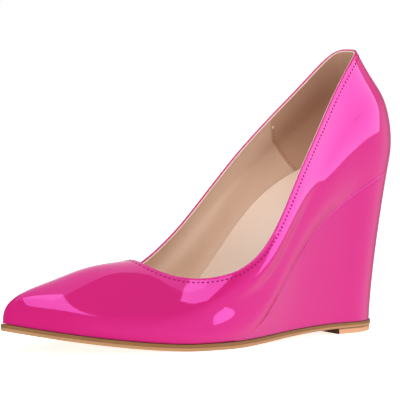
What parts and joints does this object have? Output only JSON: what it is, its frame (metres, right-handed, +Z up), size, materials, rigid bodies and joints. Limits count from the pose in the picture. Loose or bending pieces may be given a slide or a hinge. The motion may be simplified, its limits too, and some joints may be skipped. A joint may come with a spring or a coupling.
{
  "type": "wedge pump",
  "caption": "Pointed-toe slip-on pump with a full covered wedge heel, thin sole and low heel lift, empty and standing on its sole.",
  "frame": {"origin": "centre of the shoe's box on the plane that the sole stands on", "axes": "+Z up, the toe points to -Y, +X is the outer side of the left foot"},
  "size_m": [0.0788, 0.2386, 0.149],
  "materials": {
    "upper": "mirror gloss patent, bright pink",
    "insole": "smooth matt lining leather, light beige",
    "wedge": "gloss patent covering, bright pink",
    "outsole": "satin tan edge",
    "top_lift": "satin, peach tan"
  },
  "bodies": {
    "root": {"upper": "upper", "insole": "insole", "wedge": "wedge", "outsole": "outsole", "top_lift": "top_lift"}
  },
  "joints": []
}
